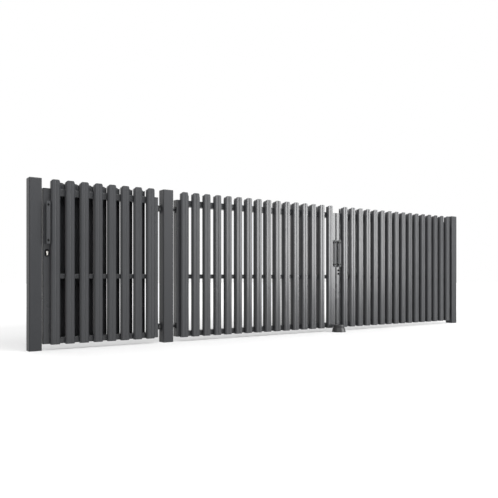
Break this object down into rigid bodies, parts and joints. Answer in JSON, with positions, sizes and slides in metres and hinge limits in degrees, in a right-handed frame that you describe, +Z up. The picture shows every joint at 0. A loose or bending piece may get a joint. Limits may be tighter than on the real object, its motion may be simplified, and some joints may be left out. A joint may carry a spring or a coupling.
{
  "type": "picket swing gate with wicket",
  "caption": "Dark steel picket drive gate of two swinging leaves with a narrow wicket beside it, hung on square capped posts, with pull handles, locks and a ground stop.",
  "frame": {"origin": "centre of the middle post's foot, on the ground", "axes": "+X along the gate from the wicket to the drive leaves, +Y into the property, +Z up; the street side faces -Y"},
  "size_m": [5.368, 0.292, 1.39],
  "materials": {
    "post_coat": "satin anthracite powder coat",
    "frame_coat": "satin anthracite powder coat",
    "picket_coat": "satin anthracite powder coat",
    "cap_plastic": "dark moulded plastic",
    "handle_coat": "satin anthracite powder coat",
    "lock_coat": "matt black coat",
    "hinge_steel": "dark coated steel",
    "pin_steel": "plated steel",
    "cylinder_nickel": "satin nickel",
    "stop_coat": "black coated steel"
  },
  "bodies": {
    "posts": {"left_post": "post_coat", "middle_post": "post_coat", "right_post": "post_coat", "left_post_cap": "cap_plastic", "middle_post_cap": "cap_plastic", "right_post_cap": "cap_plastic", "wicket_hinge_brackets": "hinge_steel", "wicket_hinge_pins": "pin_steel", "left_leaf_hinge_brackets": "hinge_steel", "left_leaf_hinge_pins": "pin_steel", "right_leaf_hinge_brackets": "hinge_steel", "right_leaf_hinge_pins": "pin_steel", "wicket_strike_plate": "pin_steel", "ground_stop": "stop_coat", "ground_stop_plate": "stop_coat"},
    "wicket_leaf": {"wicket_lock_stile": "frame_coat", "wicket_hinge_stile": "frame_coat", "wicket_top_rail": "frame_coat", "wicket_middle_rail": "frame_coat", "wicket_bottom_rail": "frame_coat", "wicket_front_pickets": "picket_coat", "wicket_back_pickets": "picket_coat", "wicket_pull_handle": "handle_coat", "wicket_hinge_eyes": "hinge_steel", "wicket_lock_plate": "lock_coat", "wicket_lock_cylinder": "cylinder_nickel"},
    "left_leaf": {"left_leaf_hinge_stile": "frame_coat", "left_leaf_meeting_stile": "frame_coat", "left_leaf_top_rail": "frame_coat", "left_leaf_middle_rail": "frame_coat", "left_leaf_bottom_rail": "frame_coat", "left_leaf_front_pickets": "picket_coat", "left_leaf_back_pickets": "picket_coat", "left_leaf_pull_handle": "handle_coat", "left_leaf_hinge_eyes": "hinge_steel"},
    "right_leaf": {"right_leaf_meeting_stile": "frame_coat", "right_leaf_hinge_stile": "frame_coat", "right_leaf_top_rail": "frame_coat", "right_leaf_middle_rail": "frame_coat", "right_leaf_bottom_rail": "frame_coat", "right_leaf_front_pickets": "picket_coat", "right_leaf_back_pickets": "picket_coat", "right_leaf_pull_handle": "handle_coat", "right_leaf_hinge_eyes": "hinge_steel", "right_leaf_lock_cylinders": "lock_coat"}
  },
  "joints": [
    {"name": "wicket_swing", "type": "hinge", "parent": "posts", "child": "wicket_leaf", "pos_m": [-0.073, 0.022, 0.7], "axis": [0, 0, -1], "range_deg": [0, 90]},
    {"name": "left_leaf_swing", "type": "hinge", "parent": "posts", "child": "left_leaf", "pos_m": [0.07, 0.022, 0.7], "axis": [0, 0, 1], "range_deg": [0, 90]},
    {"name": "right_leaf_swing", "type": "hinge", "parent": "posts", "child": "right_leaf", "pos_m": [4.03, 0.022, 0.7], "axis": [0, 0, -1], "range_deg": [0, 90]}
  ]
}
